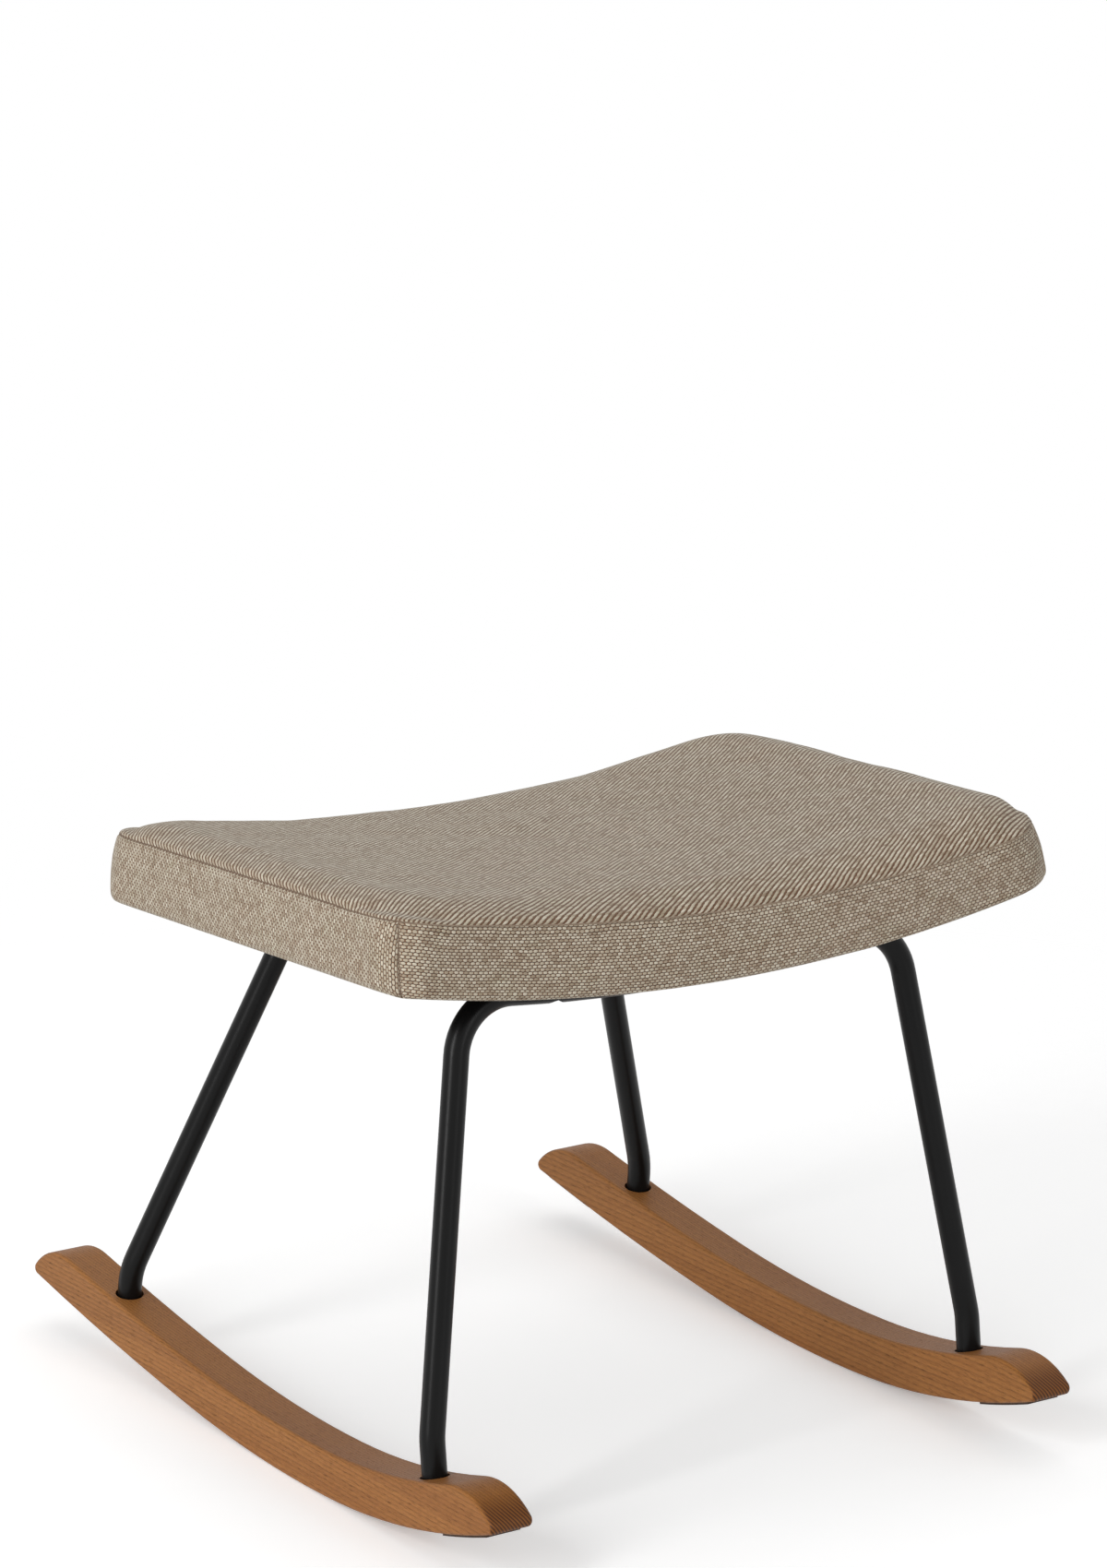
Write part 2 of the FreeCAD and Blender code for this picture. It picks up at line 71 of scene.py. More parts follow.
class Nodes:
    """A short way to write one material's nodes."""

    def __init__(self, name):
        self.material = bpy.data.materials.new(name)
        self.material.use_nodes = True
        self.tree = self.material.node_tree
        self.tree.nodes.clear()
        self.output = self.add("ShaderNodeOutputMaterial")

    def add(self, kind, **settings):
        node = self.tree.nodes.new(kind)
        for key, value in settings.items():
            setattr(node, key, value)
        return node

    def put(self, value, socket):
        if isinstance(value, bpy.types.NodeSocket):
            self.tree.links.new(value, socket)
        elif value is not None:
            socket.default_value = value

    def math(self, operation, *values, clamp=False):
        node = self.add("ShaderNodeMath", operation=operation, use_clamp=clamp)
        for value, socket in zip(values, node.inputs):
            self.put(value, socket)
        return node.outputs[0]

    def total(self, *values):
        result = values[0]
        for value in values[1:]:
            result = self.math("ADD", result, value)
        return result

    def times(self, a, b):
        return self.math("MULTIPLY", a, b)

    def minus(self, a, b):
        return self.math("SUBTRACT", a, b)

    def mapped(self, value, low, high, to_low=0.0, to_high=1.0):
        node = self.add("ShaderNodeMapRange", interpolation_type="SMOOTHSTEP")
        self.put(value, node.inputs["Value"])
        for key, number in (("From Min", low), ("From Max", high), ("To Min", to_low), ("To Max", to_high)):
            node.inputs[key].default_value = number
        return node.outputs["Result"]

    def vector(self, x=0.0, y=0.0, z=0.0):
        node = self.add("ShaderNodeCombineXYZ")
        for value, socket in zip((x, y, z), node.inputs):
            self.put(value, socket)
        return node.outputs[0]

    def parts(self, vector):
        node = self.add("ShaderNodeSeparateXYZ")
        self.put(vector, node.inputs[0])
        return node.outputs[0], node.outputs[1], node.outputs[2]

    def place(self, scale=1000.0):
        """Place on the object, in millimetres, because every object sits at the origin."""
        coordinates = self.add("ShaderNodeTexCoord")
        node = self.add("ShaderNodeVectorMath", operation="SCALE")
        self.put(coordinates.outputs["Object"], node.inputs[0])
        node.inputs["Scale"].default_value = scale
        return node.outputs[0]

    def noise(self, vector, scale, detail=3.0, roughness=0.5):
        node = self.add("ShaderNodeTexNoise")
        self.put(vector, node.inputs["Vector"])
        node.inputs["Scale"].default_value = scale
        node.inputs["Detail"].default_value = detail
        node.inputs["Roughness"].default_value = roughness
        return node.outputs[0]

    def random(self, vector):
        node = self.add("ShaderNodeTexWhiteNoise", noise_dimensions="3D")
        self.put(vector, node.inputs["Vector"])
        return node.outputs["Value"]

    def mix(self, factor, a, b, blend="MIX"):
        node = self.add("ShaderNodeMix", data_type="RGBA", blend_type=blend)
        self.put(factor, node.inputs[0])
        for value, socket in ((a, node.inputs[6]), (b, node.inputs[7])):
            if isinstance(value, tuple):
                value = (*value, 1.0)
            self.put(value, socket)
        return node.outputs[2]

    def ramp(self, factor, stops):
        node = self.add("ShaderNodeValToRGB")
        self.put(factor, node.inputs[0])
        elements = node.color_ramp.elements
        while len(elements) < len(stops):
            elements.new(0.5)
        for element, (position, colour) in zip(elements, stops):
            element.position = position
            element.color = (*colour, 1.0)
        return node.outputs[0]

    def bump(self, height, distance, strength=1.0, normal=None):
        node = self.add("ShaderNodeBump")
        node.inputs["Strength"].default_value = strength
        node.inputs["Distance"].default_value = distance
        self.put(height, node.inputs["Height"])
        self.put(normal, node.inputs["Normal"])
        return node.outputs[0]

    def surface(self, colour, roughness, normal=None, **settings):
        shader = self.add("ShaderNodeBsdfPrincipled")
        if isinstance(colour, tuple):
            colour = (*colour, 1.0)
        self.put(colour, shader.inputs["Base Color"])
        self.put(roughness, shader.inputs["Roughness"])
        self.put(normal, shader.inputs["Normal"])
        for key, value in settings.items():
            self.put(value, shader.inputs[key.replace("_", " ")])
        self.tree.links.new(shader.outputs[0], self.output.inputs[0])
        return self.material


def srgb(red, green, blue):
    """A colour written as it looks on screen, 0 to 255, in the renderer's linear values."""
    def linear(value):
        share = value / 255.0
        return share / 12.92 if share <= 0.04045 else ((share + 0.055) / 1.055) ** 2.4
    return (linear(red), linear(green), linear(blue))


RIB_REPEAT = 4.85
BEAD_REPEAT = 3.5
WEAVE_ROW = 1.9
WEAVE_LEAN = 0.05
PINKISH = (1.0, 0.9, 0.84)
GREENISH = (0.93, 1.0, 0.9)
CLOTH_PLACE = "cloth_place"


def woven_material(name, ribbed):
    """Coarse melange weave: pale yarn floats in rows, each row half a repeat on, over a brown warp.

    On the ribbed top the floats run on from row to row; on the bands they stay apart, like beads.
    """
    n = Nodes(name)
    coordinates = n.add("ShaderNodeAttribute", attribute_name=CLOTH_PLACE)
    scaled = n.add("ShaderNodeVectorMath", operation="SCALE")
    n.put(coordinates.outputs["Vector"], scaled.inputs[0])
    scaled.inputs["Scale"].default_value = 1000.0
    cloth = scaled.outputs[0]
    x, y, unused = n.parts(cloth)
    y = n.total(y, n.times(n.minus(n.noise(cloth, 0.03, 2.0), 0.5), 2.5))
    x = n.total(x, n.times(n.minus(n.noise(cloth, 0.25, 2.0), 0.5), 0.5))
    row = n.math("DIVIDE", y, WEAVE_ROW)
    row_number = n.math("FLOOR", row)
    across = n.math("ABSOLUTE", n.minus(n.minus(row, row_number), 0.5))
    lean = 0.5 if ribbed else WEAVE_LEAN
    shift = n.total(n.times(row_number, 0.5), n.times(n.minus(row, row_number), lean))
    rib = n.minus(n.math("DIVIDE", x, RIB_REPEAT if ribbed else BEAD_REPEAT), shift)
    rib_number = n.math("FLOOR", rib)
    along = n.math("ABSOLUTE", n.minus(n.minus(rib, rib_number), 0.5))
    side = n.math("POWER", n.math("DIVIDE", across, 0.75 if ribbed else 0.47), 2.4)
    reach = n.math("POWER", n.math("DIVIDE", along, 0.31 if ribbed else 0.42), 2.6)
    float_height = n.math("SQRT", n.math("MAXIMUM", n.minus(1.0, n.total(reach, side)), 0.0))
    warp_reach = n.math("POWER", n.math("DIVIDE", n.minus(0.5, along), 0.17), 2.0)
    warp_height = n.math("SQRT", n.math("MAXIMUM", n.minus(1.0, n.total(warp_reach, side)), 0.0))
    fibre = n.noise(n.vector(n.times(x, 0.5), n.times(y, 2.6), 0.0), 1.0, 4.0, 0.65)
    tone = n.random(n.vector(rib_number, row_number, 0.0))
    length_tone = n.noise(n.vector(n.times(x, 0.02), row_number, 0.0), 1.0, 2.0)
    pick = n.total(n.times(tone, 0.3), n.times(fibre, 0.4), n.times(length_tone, 0.3))
    yarn = n.ramp(pick, [
        (0.28, srgb(138, 119, 99)), (0.42, srgb(172, 158, 138)), (0.58, srgb(190, 179, 160)),
        (0.74, srgb(210, 201, 184)),
    ])
    warp = n.ramp(fibre, [(0.3, srgb(92, 66, 50)), (0.7, srgb(134, 104, 82))])
    # Painted shade: where neither a float nor the warp stands, the colour falls to a dark brown that stands in
    # for shade in the gaps between yarns; the warp's own brown is the cloth's colour.
    warp_and_painted_gap_shade = n.mix(n.mapped(warp_height, 0.05, 0.5), srgb(58, 41, 32), warp)
    colour = n.mix(n.mapped(float_height, 0.05, 0.45), warp_and_painted_gap_shade, yarn)
    height = n.math("MAXIMUM", float_height, n.times(warp_height, 0.55))
    height = n.total(height, n.times(fibre, 0.2))
    patch = n.noise(cloth, 0.045, 3.0, 0.6)
    for tint, full_at in ((PINKISH, 0.75), (GREENISH, 0.25)):
        tinted = n.mix(1.0, colour, tint, "MULTIPLY")
        colour = n.mix(n.mapped(patch, 0.5, full_at, 0.0, 0.3), colour, tinted)
    return n.surface(
        colour, 0.92, n.bump(height, 0.0005, 0.7), Specular_IOR_Level=0.15,
        Sheen_Weight=0.25, Sheen_Roughness=0.4, Sheen_Tint=(0.92, 0.95, 0.9, 1.0),
    )


def oak_material(name, lean, seed):
    """Oak with growth layers stacked across the width, open pores along the grain and an oil finish."""
    n = Nodes(name)
    x, y, z = n.parts(n.place())
    slow = n.vector(n.total(n.times(x, 0.01), seed), n.times(y, 0.003), n.times(z, 0.012))
    wave = n.minus(n.noise(slow, 1.0, 2.0), 0.5)
    depth = n.total(x, n.times(z, lean), n.times(y, 0.012), n.times(wave, 8.0))
    rings = n.math("DIVIDE", depth, 2.4)
    ring_number = n.math("FLOOR", rings)
    ring = n.minus(rings, ring_number)
    ring_tone = n.random(n.vector(ring_number, seed, 0.0))
    porous = n.math("MAXIMUM", n.mapped(ring, 0.5, 0.95), n.mapped(ring, 0.0, 0.1, 1.0, 0.0))
    pore_place = n.vector(n.times(x, 2.8), n.times(y, 0.13), n.times(z, 2.8))
    pores = n.mapped(n.noise(pore_place, 1.0, 3.0, 0.6), 0.53, 0.66)
    pores = n.times(pores, n.total(n.times(porous, 0.3), 0.5))
    fine = n.noise(n.vector(n.times(x, 4.5), n.times(y, 0.2), n.times(z, 4.5)), 1.0, 4.0, 0.7)
    patch = n.noise(n.vector(n.times(x, 0.03), n.times(y, 0.006), n.times(z, 0.03)), 1.0, 3.0, 0.6)
    streak = n.total(n.times(porous, 0.5), n.times(ring_tone, 0.35))
    colour = n.mix(streak, srgb(164, 110, 56), srgb(122, 76, 34))
    colour = n.mix(n.mapped(patch, 0.35, 0.7, 0.0, 0.4), colour, srgb(140, 86, 38))
    colour = n.mix(n.mapped(fine, 0.35, 0.7, 0.0, 0.55), colour, srgb(104, 62, 26))
    colour = n.mix(n.times(pores, 0.8), colour, srgb(56, 32, 14))
    # Painted shade, in part: faces that look along the grain, such as the rockers' front noses, turn almost to
    # a dark open-pore brown. Oak end grain is darker, and the strength of this darkening also stands in for
    # the shade that these faces get.
    facing = n.add("ShaderNodeNewGeometry")
    along_grain = n.parts(facing.outputs["Normal"])[1]
    end_grain_and_painted_shade = n.mapped(n.math("ABSOLUTE", along_grain), 0.15, 0.55)
    open_ends_and_painted_shade = n.mix(n.mapped(ring, 0.3, 0.7), srgb(116, 68, 26), srgb(48, 24, 6))
    colour = n.mix(n.times(end_grain_and_painted_shade, 0.9), colour, open_ends_and_painted_shade)
    height = n.total(n.times(pores, -1.0), n.times(fine, 0.25), n.times(porous, -0.12))
    roughness = n.total(0.45, n.times(pores, 0.25), n.times(fine, 0.1))
    return n.surface(colour, roughness, n.bump(height, 0.0002, 0.6), Specular_IOR_Level=0.2)


def powder_coat():
    n = Nodes("black_powder_coat")
    place = n.place()
    orange_peel = n.noise(place, 1.4, 3.0, 0.55)
    cloud = n.noise(place, 0.02, 2.0)
    colour = n.mix(cloud, (0.0025, 0.0025, 0.0026), (0.004, 0.004, 0.0041))
    roughness = n.total(0.26, n.times(orange_peel, 0.06), n.times(cloud, 0.04))
    return n.surface(colour, roughness, n.bump(orange_peel, 0.0001, 0.3), Specular_IOR_Level=0.15)


def steel_material(name, colour, roughness):
    n = Nodes(name)
    place = n.place()
    marks = n.noise(place, 2.2, 4.0, 0.7)
    tint = n.mix(n.mapped(marks, 0.3, 0.8, 0.0, 0.5), colour, tuple(value * 0.72 for value in colour))
    rough = n.total(roughness, n.times(marks, 0.18))
    return n.surface(tint, rough, n.bump(marks, 0.00005, 0.5), Metallic=1.0)


def plastic_material():
    n = Nodes("black_nylon")
    grain = n.noise(n.place(), 3.0, 2.0)
    colour = n.mix(grain, (0.010, 0.010, 0.010), (0.018, 0.018, 0.018))
    return n.surface(colour, n.total(0.45, n.times(grain, 0.15)), n.bump(grain, 0.00005, 0.5))


def plywood_material():
    n = Nodes("birch_plywood")
    x, y, z = n.parts(n.place())
    grain = n.noise(n.vector(n.times(x, 0.05), n.times(y, 0.6), n.times(z, 0.6)), 1.0, 4.0, 0.6)
    speck = n.noise(n.vector(n.times(x, 0.3), n.times(y, 2.5), n.times(z, 2.5)), 1.0, 2.0)
    colour = n.mix(grain, srgb(214, 184, 142), srgb(186, 150, 106))
    colour = n.mix(n.mapped(speck, 0.55, 0.75, 0.0, 0.4), colour, srgb(150, 112, 74))
    return n.surface(colour, 0.6, n.bump(grain, 0.0001, 0.4))


def fleecy_material(name, dark, light, scale, depth):
    """Foam, wadding, felt and non-woven cloth: a matted surface of fine fibres or cells."""
    n = Nodes(name)
    place = n.place()
    cells = n.noise(place, scale, 5.0, 0.7)
    cloud = n.noise(place, scale * 0.08, 3.0)
    colour = n.mix(n.total(n.times(cells, 0.7), n.times(cloud, 0.3)), dark, light)
    return n.surface(colour, 0.95, n.bump(cells, depth, 0.8), Specular_IOR_Level=0.15, Sheen_Weight=0.15)


def nonwoven_material():
    """Thin black spun cloth with its grid of tiny bonded dots."""
    n = Nodes("black_nonwoven")
    place = n.place()
    x, y, unused = n.parts(place)
    dot_x = n.math("ABSOLUTE", n.math("SINE", n.times(x, 1.9)))
    dot_y = n.math("ABSOLUTE", n.math("SINE", n.times(y, 1.9)))
    dots = n.mapped(n.times(dot_x, dot_y), 0.55, 0.9)
    fibre = n.noise(place, 1.8, 5.0, 0.75)
    shade = n.total(n.times(fibre, 0.8), n.times(dots, -0.3))
    colour = n.mix(shade, (0.008, 0.008, 0.009), (0.035, 0.035, 0.037))
    height = n.minus(n.times(fibre, 0.5), dots)
    return n.surface(colour, 0.8, n.bump(height, 0.0002, 0.7), Specular_IOR_Level=0.3)


def thread_material():
    n = Nodes("seam_thread")
    place = n.place()
    twist = n.noise(place, 2.5, 2.0)
    x = n.parts(place)[0]
    colour = n.mix(twist, srgb(84, 66, 52), srgb(122, 102, 84))
    # Painted shade: the thread stays dark at the left end, left of about -246 mm, and is lightened to the
    # right of about -225 mm, standing in for the shade of the deeper left seam.
    colour = n.mix(n.mapped(x, -246.0, -225.0, 0.0, 0.7), colour, srgb(150, 132, 112))
    return n.surface(colour, 0.8, n.bump(twist, 0.0002, 0.6))


woven = woven_material("woven_melange_top", True)
woven_band = woven_material("woven_melange_band", False)
oak = {
    "rocker_left": oak_material("oak_left", 0.75, 3.0),
    "rocker_right": oak_material("oak_right", 0.6, 11.0),
}
black = powder_coat()
zinc = steel_material("zinc_plate", (0.55, 0.56, 0.57), 0.3)
plain_steel = steel_material("turned_steel", (0.45, 0.44, 0.43), 0.38)
nylon = plastic_material()
plywood = plywood_material()
foam = fleecy_material("open_cell_foam", srgb(206, 190, 140), srgb(236, 224, 184), 1.2, 0.0005)
wadding = fleecy_material("polyester_wadding", srgb(214, 214, 210), srgb(245, 245, 242), 0.9, 0.0008)
felt = fleecy_material("brown_felt", srgb(38, 28, 22), srgb(78, 60, 48), 1.6, 0.0004)
nonwoven = nonwoven_material()
thread = thread_material()

finishes = {
    "rocker_left": oak["rocker_left"], "rocker_right": oak["rocker_right"],
    "front_tube_frame": black, "rear_tube_frame": black,
    "leg_inserts": plain_steel, "rocker_washers": zinc, "rocker_bolts": zinc, "frame_bolts": zinc,
    "tee_nuts": zinc, "staples": plain_steel, "saddle_washers": nylon, "seat_board": plywood,
    "seat_foam": foam, "seat_wadding": wadding,
}
for name, node in nodes.items():
    node.data.materials.clear()
    node.data.materials.append(finishes.get(name, felt))


# The seat's own frame: u across, v from front to rear, h over the underside, in millimetres.
# Corners are listed front left, front right, rear left, rear right.

SEAT_AHEAD = 42.0
ORIGIN_BEHIND_HOLES = -10.0
SEAT_HEIGHT = 328.9
SEAT_TILT = math.radians(-3.6)
SEAT_CURVE = 1180.0
SEAM_HALF_WIDTH = 249.0
SEAM_HALF_DEPTH = 185.0
FOOT_HALF_WIDTH = 251.3
FOOT_HALF_DEPTH = 188.0
CORNERS = (26.0, 50.0, 44.0, 50.0)
FOOT_CORNER = 26.0
BAND_BULGE = 2.0
CORNER_HANG = 2.0
FOOT_ROUNDING = 3.0
SEAM_HEIGHT = 43.4
SEAM_SIDE_DROP = 3.8
SEAM_RIGHT_DROP = 5.3
CROWN = 11.7
CROWN_RUN = 40.0
CROWN_CORNERS = (72.0, 72.0, 72.0, 56.0)
CROWN_POWER = 2.2
DOME = 3.0
RIGHT_CORNER_DROP = 4.5
CELL = 5.0
SHIFT_LIMIT = 0.0012
CLOTH_FRAMES = 20
PRESSURE = 4.0
SEAM_SHRINK = 0.02


def seat_to_world(points):
    """Places points given as u, v, h, with h over the curved underside, in the shared frame in metres."""
    points = np.asarray(points, float)
    u = points[..., 0]
    v = points[..., 1]
    h = points[..., 2] + SEAT_CURVE - np.sqrt(SEAT_CURVE ** 2 - u ** 2)
    y = v * math.cos(SEAT_TILT) - h * math.sin(SEAT_TILT) - SEAT_AHEAD + ORIGIN_BEHIND_HOLES
    z = v * math.sin(SEAT_TILT) + h * math.cos(SEAT_TILT) + SEAT_HEIGHT
    return np.stack([u, y, z], -1) * MM


def side_points(half_width, half_depth, first_corner, last_corner, shares):
    """Points along one side of a rounded rectangle, from the middle of one corner to the next."""
    first_arc = first_corner * math.pi / 4
    last_arc = last_corner * math.pi / 4
    straight = 2 * half_width - first_corner - last_corner
    points = np.zeros((len(shares), 2))
    for i, length in enumerate(shares * (first_arc + straight + last_arc)):
        beyond = length - first_arc - straight
        if length < first_arc:
            corner = first_corner
            turn = math.radians(225) + length / corner
            middle = -half_width + corner
        elif beyond > 0:
            corner = last_corner
            turn = math.radians(270) + beyond / corner
            middle = half_width - corner
        else:
            points[i] = (-half_width + first_corner + length - first_arc, -half_depth)
            continue
        points[i] = (middle + corner * math.cos(turn), -half_depth + corner + corner * math.sin(turn))
    return points


def outline(half_width, half_depth, corners, across, along):
    """The four sides of a rounded rectangle: front and rear run with +u, left and right with +v."""
    front_left, front_right, rear_left, rear_right = corners
    front = side_points(half_width, half_depth, front_left, front_right, across)
    rear = side_points(half_width, half_depth, rear_left, rear_right, across) * (1, -1)
    left = side_points(half_depth, half_width, front_left, rear_left, along)[:, ::-1]
    right = side_points(half_depth, half_width, front_right, rear_right, along)[:, ::-1] * (-1, 1)
    return front, rear, left, right


def patch(front, rear, left, right, across, along):
    """Fills four sides with a smooth grid, indexed [across, along]."""
    s = across[:, None, None]
    t = along[None, :, None]
    grid = (1 - t) * front[:, None] + t * rear[:, None] + (1 - s) * left[None] + s * right[None]
    grid -= (1 - s) * (1 - t) * front[0] + s * (1 - t) * front[-1] + (1 - s) * t * rear[0] + s * t * rear[-1]
    return grid


def edge_distance(points, half_width, half_depth, corners):
    """How far inside a rounded rectangle each point lies."""
    u = points[..., 0]
    v = points[..., 1]
    front_left, front_right, rear_left, rear_right = corners
    at_left = np.where(v < 0, front_left, rear_left)
    at_right = np.where(v < 0, front_right, rear_right)
    corner = np.where(u < 0, at_left, at_right)
    beyond_u = np.abs(u) - (half_width - corner)
    beyond_v = np.abs(v) - (half_depth - corner)
    outside = np.hypot(np.maximum(beyond_u, 0), np.maximum(beyond_v, 0))
    return corner - outside - np.minimum(np.maximum(beyond_u, beyond_v), 0)


def blobs(points, size, seed):
    """Smooth, repeatable unevenness between about -1 and 1 at one size in millimetres."""
    random = np.random.default_rng(seed)
    total = np.zeros(points.shape[:-1])
    for step in range(14):
        direction = random.normal(size=3)
        direction /= np.linalg.norm(direction)
        wave = 2 * math.pi / (size * random.uniform(0.7, 1.5))
        total += np.sin(points @ direction * wave + random.uniform(0, 2 * math.pi))
    return total / 5.0


def stations(length, cell, fine=()):
    """Places from 0 to 1 along a side, evenly spaced, with extra ones at given distances from both ends."""
    count = max(4, int(round(length / cell)))
    even = [i / count for i in range(count + 1)]
    if fine:
        kept = [x for x in even if fine[-1] * 1.4 < x * length < length - fine[-1] * 1.4]
        ends = [d / length for d in fine]
        even = [0.0, *ends, *kept, *[1.0 - x for x in reversed(ends)], 1.0]
    return np.array(even)


SEAM_STEPS = (0.7, 1.5, 2.8)
LEFT_SEAM_END = -238.0
LEFT_GROOVE = 1.6
GROOVE = 0.8
GROOVE_WIDTH = 1.3
PUCKER_REACH = 7.0
HEM_REACH = 6.0
CORNER_HANG_REACH = 10.0


def seam_level(u):
    """Height of the sewn top seam, which falls a little towards both sides and to the right."""
    share = u / SEAM_HALF_WIDTH
    return SEAM_HEIGHT - SEAM_SIDE_DROP * np.clip(np.abs(share), 0, 1) ** 4 - SEAM_RIGHT_DROP * share


def band_profile(down):
    """Half sizes and corners of the band at shares of the way down from the seam."""
    turned_in = max(0.0, (down - 0.86) / 0.14)
    out = BAND_BULGE * math.sin(math.pi * down) - FOOT_ROUNDING * (1 - math.sqrt(max(0.0, 1 - turned_in ** 2)))
    lean = down ** 1.3
    width = SEAM_HALF_WIDTH + (FOOT_HALF_WIDTH - SEAM_HALF_WIDTH) * lean + out
    depth = SEAM_HALF_DEPTH + (FOOT_HALF_DEPTH - SEAM_HALF_DEPTH) * lean + out
    corners = [corner + (FOOT_CORNER - corner) * lean / 2 for corner in CORNERS]
    return width, depth, corners


def cushion_grids(across, along, down):
    """The closed cushion form as grids of u, v, h: top, under and the four bands."""
    plan = patch(*outline(SEAM_HALF_WIDTH, SEAM_HALF_DEPTH, CORNERS, across, along), across, along)
    inside = edge_distance(plan, SEAM_HALF_WIDTH, SEAM_HALF_DEPTH, CORNERS)
    softer = edge_distance(plan, SEAM_HALF_WIDTH, SEAM_HALF_DEPTH, CROWN_CORNERS)
    inside = np.minimum(inside, np.maximum(softer, 0) + 0.15 * inside)
    share = np.clip(inside / CROWN_RUN, 0, 1)
    rise = (1 - (1 - share) ** CROWN_POWER) ** (1 / CROWN_POWER)
    u = plan[..., 0] / SEAM_HALF_WIDTH
    v = plan[..., 1] / SEAM_HALF_DEPTH
    dome = np.clip((1 - u ** 2) * (1 - v ** 2), 0, 1) ** 0.8
    right_corner = np.clip((1 + u) / 2, 0, 1) ** 6 * np.clip((1 - v) / 2, 0, 1) ** 2
    seam = seam_level(plan[..., 0])
    top = SEAM_HEIGHT + CROWN + DOME * dome - RIGHT_CORNER_DROP * right_corner
    grids = {"top": np.concatenate([plan, (seam + (top - seam) * rise)[..., None]], -1)}
    rings = []
    for share in down:
        width, depth, corners = band_profile(share)
        rings.append(outline(width, depth, corners, across, along))
    for index, name in enumerate(("front", "rear", "left", "right")):
        rows = []
        for share, ring in zip(down, rings):
            level = seam_level(ring[index][:, :1]) * (1 - share)
            rows.append(np.concatenate([ring[index], level], -1))
        grids[name] = np.stack(rows, 1)
    width, depth, corners = band_profile(1.0)
    under = patch(*outline(width, depth, corners, across, along), across, along)
    grids["under"] = np.concatenate([under, np.zeros(under.shape[:2] + (1,))], -1)
    return grids


def sew(grids):
    """Joins the grids into one closed mesh.

    Returns its points, its quads, each quad's grid name and grid corners, and each grid's point numbers.
    """
    points = []
    lookup = {}
    numbers = {}
    for name, grid in grids.items():
        index = np.zeros(grid.shape[:2], int)
        for i in range(grid.shape[0]):
            for j in range(grid.shape[1]):
                border = i in (0, grid.shape[0] - 1) or j in (0, grid.shape[1] - 1)
                key = tuple(np.round(grid[i, j], 3)) if border else None
                if border and key in lookup:
                    index[i, j] = lookup[key]
                    continue
                index[i, j] = len(points)
                points.append(grid[i, j])
                if border:
                    lookup[key] = index[i, j]
        numbers[name] = index
    flipped = {"top": False, "under": True, "front": True, "rear": False, "left": False, "right": True}
    quads = []
    owners = []
    corners = []
    for name, index in numbers.items():
        for i in range(index.shape[0] - 1):
            for j in range(index.shape[1] - 1):
                loop = [(i, j), (i + 1, j), (i + 1, j + 1), (i, j + 1)]
                if flipped[name]:
                    loop.reverse()
                quads.append([index[c] for c in loop])
                corners.append(loop)
                owners.append(name)
    return np.array(points), quads, owners, corners, numbers


def new_object(name, points, faces, material, smooth=True):
    mesh = bpy.data.meshes.new(name)
    mesh.from_pydata([tuple(p) for p in points], [], [tuple(f) for f in faces])
    mesh.validate()
    if smooth:
        mesh.polygons.foreach_set("use_smooth", [True] * len(mesh.polygons))
    mesh.materials.append(material)
    item = bpy.data.objects.new(name, mesh)
    bpy.context.scene.collection.objects.link(item)
    return item


def simulate(points, quads, numbers):
    """Inflates the closed form as cloth held at the board, with seams that stay short."""
    start = seat_to_world(points)
    item = new_object("cloth_trial", start, quads, woven)
    held = item.vertex_groups.new(name="held")
    held.add([int(i) for i in np.unique(numbers["under"])], 1.0, "REPLACE")
    seams = [numbers["top"][0], numbers["top"][-1], numbers["top"][:, 0], numbers["top"][:, -1]]
    seams += [numbers[name][end] for name in ("front", "rear") for end in (0, -1)]
    seam_points = np.unique(np.concatenate(seams))
    tight = item.vertex_groups.new(name="tight")
    tight.add([int(i) for i in seam_points], 1.0, "REPLACE")
    cloth = item.modifiers.new("cloth", "CLOTH")
    settings = cloth.settings
    settings.quality = 6
    settings.mass = 0.25
    settings.tension_stiffness = 80.0
    settings.compression_stiffness = 80.0
    settings.shear_stiffness = 30.0
    settings.bending_stiffness = 6.0
    settings.vertex_group_mass = "held"
    settings.use_pressure = True
    settings.uniform_pressure_force = PRESSURE
    settings.vertex_group_shrink = "tight"
    settings.shrink_min = 0.0
    settings.shrink_max = SEAM_SHRINK
    settings.effector_weights.gravity = 0.0
    cloth.collision_settings.use_collision = False
    scene = bpy.context.scene
    for step in range(1, CLOTH_FRAMES + 1):
        scene.frame_set(step)
    depsgraph = bpy.context.evaluated_depsgraph_get()
    evaluated = item.evaluated_get(depsgraph)
    moved = np.array([tuple(v.co) for v in evaluated.data.vertices])
    scene.frame_set(1)
    bpy.data.objects.remove(item)
    shift = moved - start
    size = np.linalg.norm(shift, axis=1, keepdims=True)
    return start, shift * (SHIFT_LIMIT * np.tanh(size / SHIFT_LIMIT) / np.maximum(size, 1e-9))


def blend_rows(old, new):
    """Matrix that reads smooth values at new places from values at old, evenly spaced ones."""
    count = len(old)
    matrix = np.zeros((len(new), count))
    for row, place in enumerate(new):
        at = place * (count - 1)
        base = min(int(at), count - 2)
        t = at - base
        weights = (
            -0.5 * t ** 3 + t ** 2 - 0.5 * t, 1.5 * t ** 3 - 2.5 * t ** 2 + 1,
            -1.5 * t ** 3 + 2 * t ** 2 + 0.5 * t, 0.5 * t ** 3 - 0.5 * t ** 2,
        )
        for k, weight in enumerate(weights):
            matrix[row, min(max(base - 1 + k, 0), count - 1)] += weight
    return matrix


